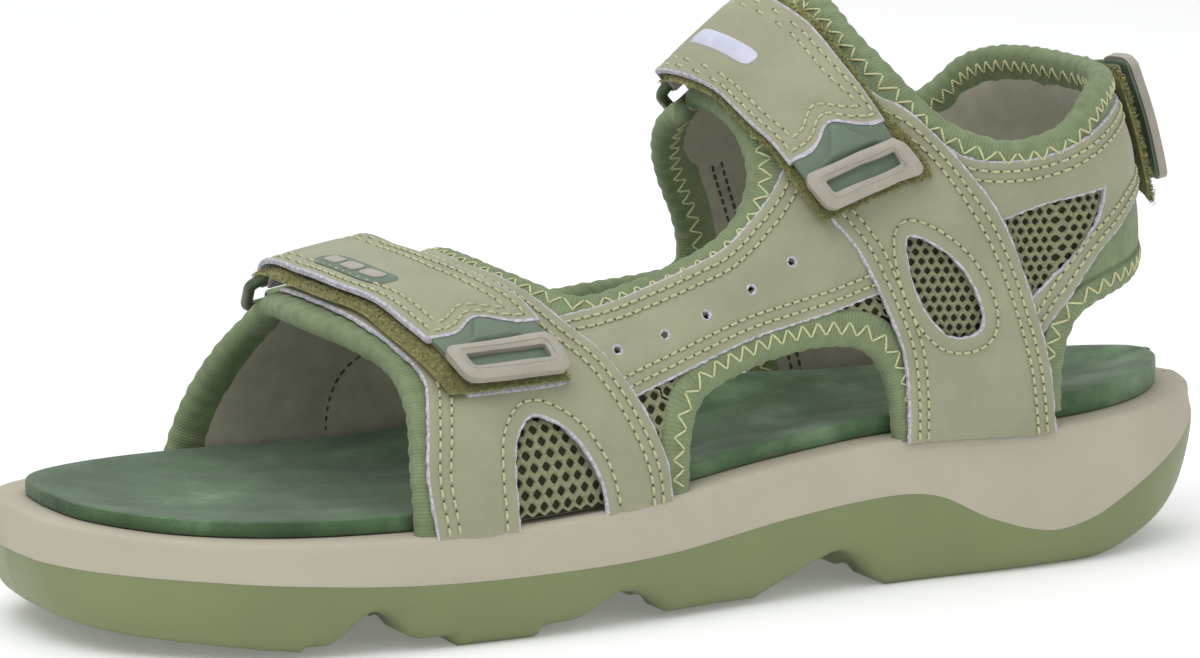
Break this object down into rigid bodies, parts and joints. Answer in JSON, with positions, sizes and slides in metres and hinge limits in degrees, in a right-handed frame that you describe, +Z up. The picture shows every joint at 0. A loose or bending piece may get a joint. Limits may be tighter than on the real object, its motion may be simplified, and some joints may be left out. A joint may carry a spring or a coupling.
{
  "type": "sandal",
  "caption": "Open sport sandal on a thick two-layer sole, with padded side panels and hook-and-loop straps over forefoot, instep and heel.",
  "frame": {"origin": "middle of the sole's length and width, on the ground under it", "axes": "+X from toe to heel, +Y to the inner (medial) side, +Z up"},
  "size_m": [0.274, 0.1001, 0.1222],
  "materials": {
    "outsole_rubber": "moulded, satin",
    "midsole_foam": "moulded foam, matt",
    "footbed_microfibre": "brushed microfibre",
    "fibre_board": "pressed fibre board",
    "padded_lining": "brushed nylon over foam",
    "air_mesh": "open hexagonal knit",
    "elastic_binding": "ribbed elastic",
    "pile_tape": "fuzzy loop pile",
    "hook_tape": "hook tape",
    "ring_plastic": "moulded",
    "tab_rubber": "moulded, matt",
    "trim_rubber": "moulded, matt",
    "reflective_film": "retroreflective film",
    "synthetic_leather": "smooth matt coated"
  },
  "bodies": {
    "upper_and_sole": {"outsole": "outsole_rubber", "midsole": "midsole_foam", "insole_board": "fibre_board", "footbed": "footbed_microfibre", "lateral_front_lining": "padded_lining", "lateral_front_mesh": "air_mesh", "lateral_front_overlay": "synthetic_leather", "lateral_arm_lining": "padded_lining", "lateral_arm_mesh": "air_mesh", "lateral_arm_overlay": "synthetic_leather", "lateral_quarter_lining": "padded_lining", "lateral_quarter_mesh": "air_mesh", "lateral_quarter_overlay": "synthetic_leather", "lateral_heel_mesh": "air_mesh", "lateral_heel_overlay": "synthetic_leather", "lateral_front_binding": "elastic_binding", "lateral_throat_binding": "elastic_binding", "lateral_arch_binding": "elastic_binding", "medial_front_lining": "padded_lining", "medial_front_mesh": "air_mesh", "medial_front_overlay": "synthetic_leather", "medial_arm_lining": "padded_lining", "medial_arm_overlay": "synthetic_leather", "medial_quarter_lining": "padded_lining", "medial_quarter_mesh": "air_mesh", "medial_quarter_overlay": "synthetic_leather", "medial_heel_mesh": "air_mesh", "medial_heel_overlay": "synthetic_leather", "medial_front_binding": "elastic_binding", "medial_throat_binding": "elastic_binding", "medial_arch_binding": "elastic_binding", "heel_lining": "padded_lining", "collar_binding": "elastic_binding", "heel_lower_binding": "elastic_binding", "front_strap_root": "synthetic_leather", "front_strap_pile_tape": "pile_tape", "front_strap_ring_loop": "elastic_binding", "instep_strap_root": "synthetic_leather", "instep_strap_pile_tape": "pile_tape", "instep_strap_ring_loop": "elastic_binding", "heel_strap_root": "synthetic_leather", "heel_strap_pile_tape": "pile_tape", "heel_strap_ring_loop": "elastic_binding"},
    "front_strap_ring_body": {"front_strap_ring": "ring_plastic"},
    "front_strap_body": {"front_strap_hook_tape": "hook_tape", "front_strap_band": "synthetic_leather", "front_strap_tab_base": "tab_rubber", "front_strap_tab_frame": "trim_rubber", "front_strap_badge": "trim_rubber"},
    "instep_strap_ring_body": {"instep_strap_ring": "ring_plastic"},
    "instep_strap_body": {"instep_strap_hook_tape": "hook_tape", "instep_strap_band": "synthetic_leather", "instep_strap_tab_base": "tab_rubber", "instep_strap_tab_frame": "trim_rubber", "instep_strap_reflector": "reflective_film"},
    "heel_strap_ring_body": {"heel_strap_ring": "ring_plastic"},
    "heel_strap_body": {"heel_strap_hook_tape": "hook_tape", "heel_strap_band": "synthetic_leather", "heel_strap_tab_base": "tab_rubber", "heel_strap_tab_frame": "trim_rubber"}
  },
  "joints": [
    {"name": "front_strap_ring_swing", "type": "hinge", "parent": "upper_and_sole", "child": "front_strap_ring_body", "pos_m": [-0.05535, 0.03886, 0.05908], "axis": [-0.9725, 0.1206, -0.1991], "range_deg": [0, 8]},
    {"name": "front_strap_open", "type": "hinge", "parent": "front_strap_ring_body", "child": "front_strap_body", "pos_m": [-0.05786, 0.03001, 0.06596], "axis": [-0.9725, 0.1206, -0.1991], "range_deg": [0, 75]},
    {"name": "instep_strap_ring_swing", "type": "hinge", "parent": "upper_and_sole", "child": "instep_strap_ring_body", "pos_m": [0.03676, 0.02347, 0.10447], "axis": [-0.7093, 0.2184, -0.6702], "range_deg": [0, 8]},
    {"name": "instep_strap_open", "type": "hinge", "parent": "instep_strap_ring_body", "child": "instep_strap_body", "pos_m": [0.02993, 0.0168, 0.10953], "axis": [-0.7093, 0.2184, -0.6702], "range_deg": [0, 75]},
    {"name": "heel_strap_ring_swing", "type": "hinge", "parent": "upper_and_sole", "child": "heel_strap_ring_body", "pos_m": [0.07679, 0.03589, 0.07752], "axis": [-0.009, -0.0135, 0.9999], "range_deg": [0, 8]},
    {"name": "heel_strap_open", "type": "hinge", "parent": "heel_strap_ring_body", "child": "heel_strap_body", "pos_m": [0.08677, 0.0363, 0.07762], "axis": [-0.009, -0.0135, 0.9999], "range_deg": [0, 75]}
  ]
}
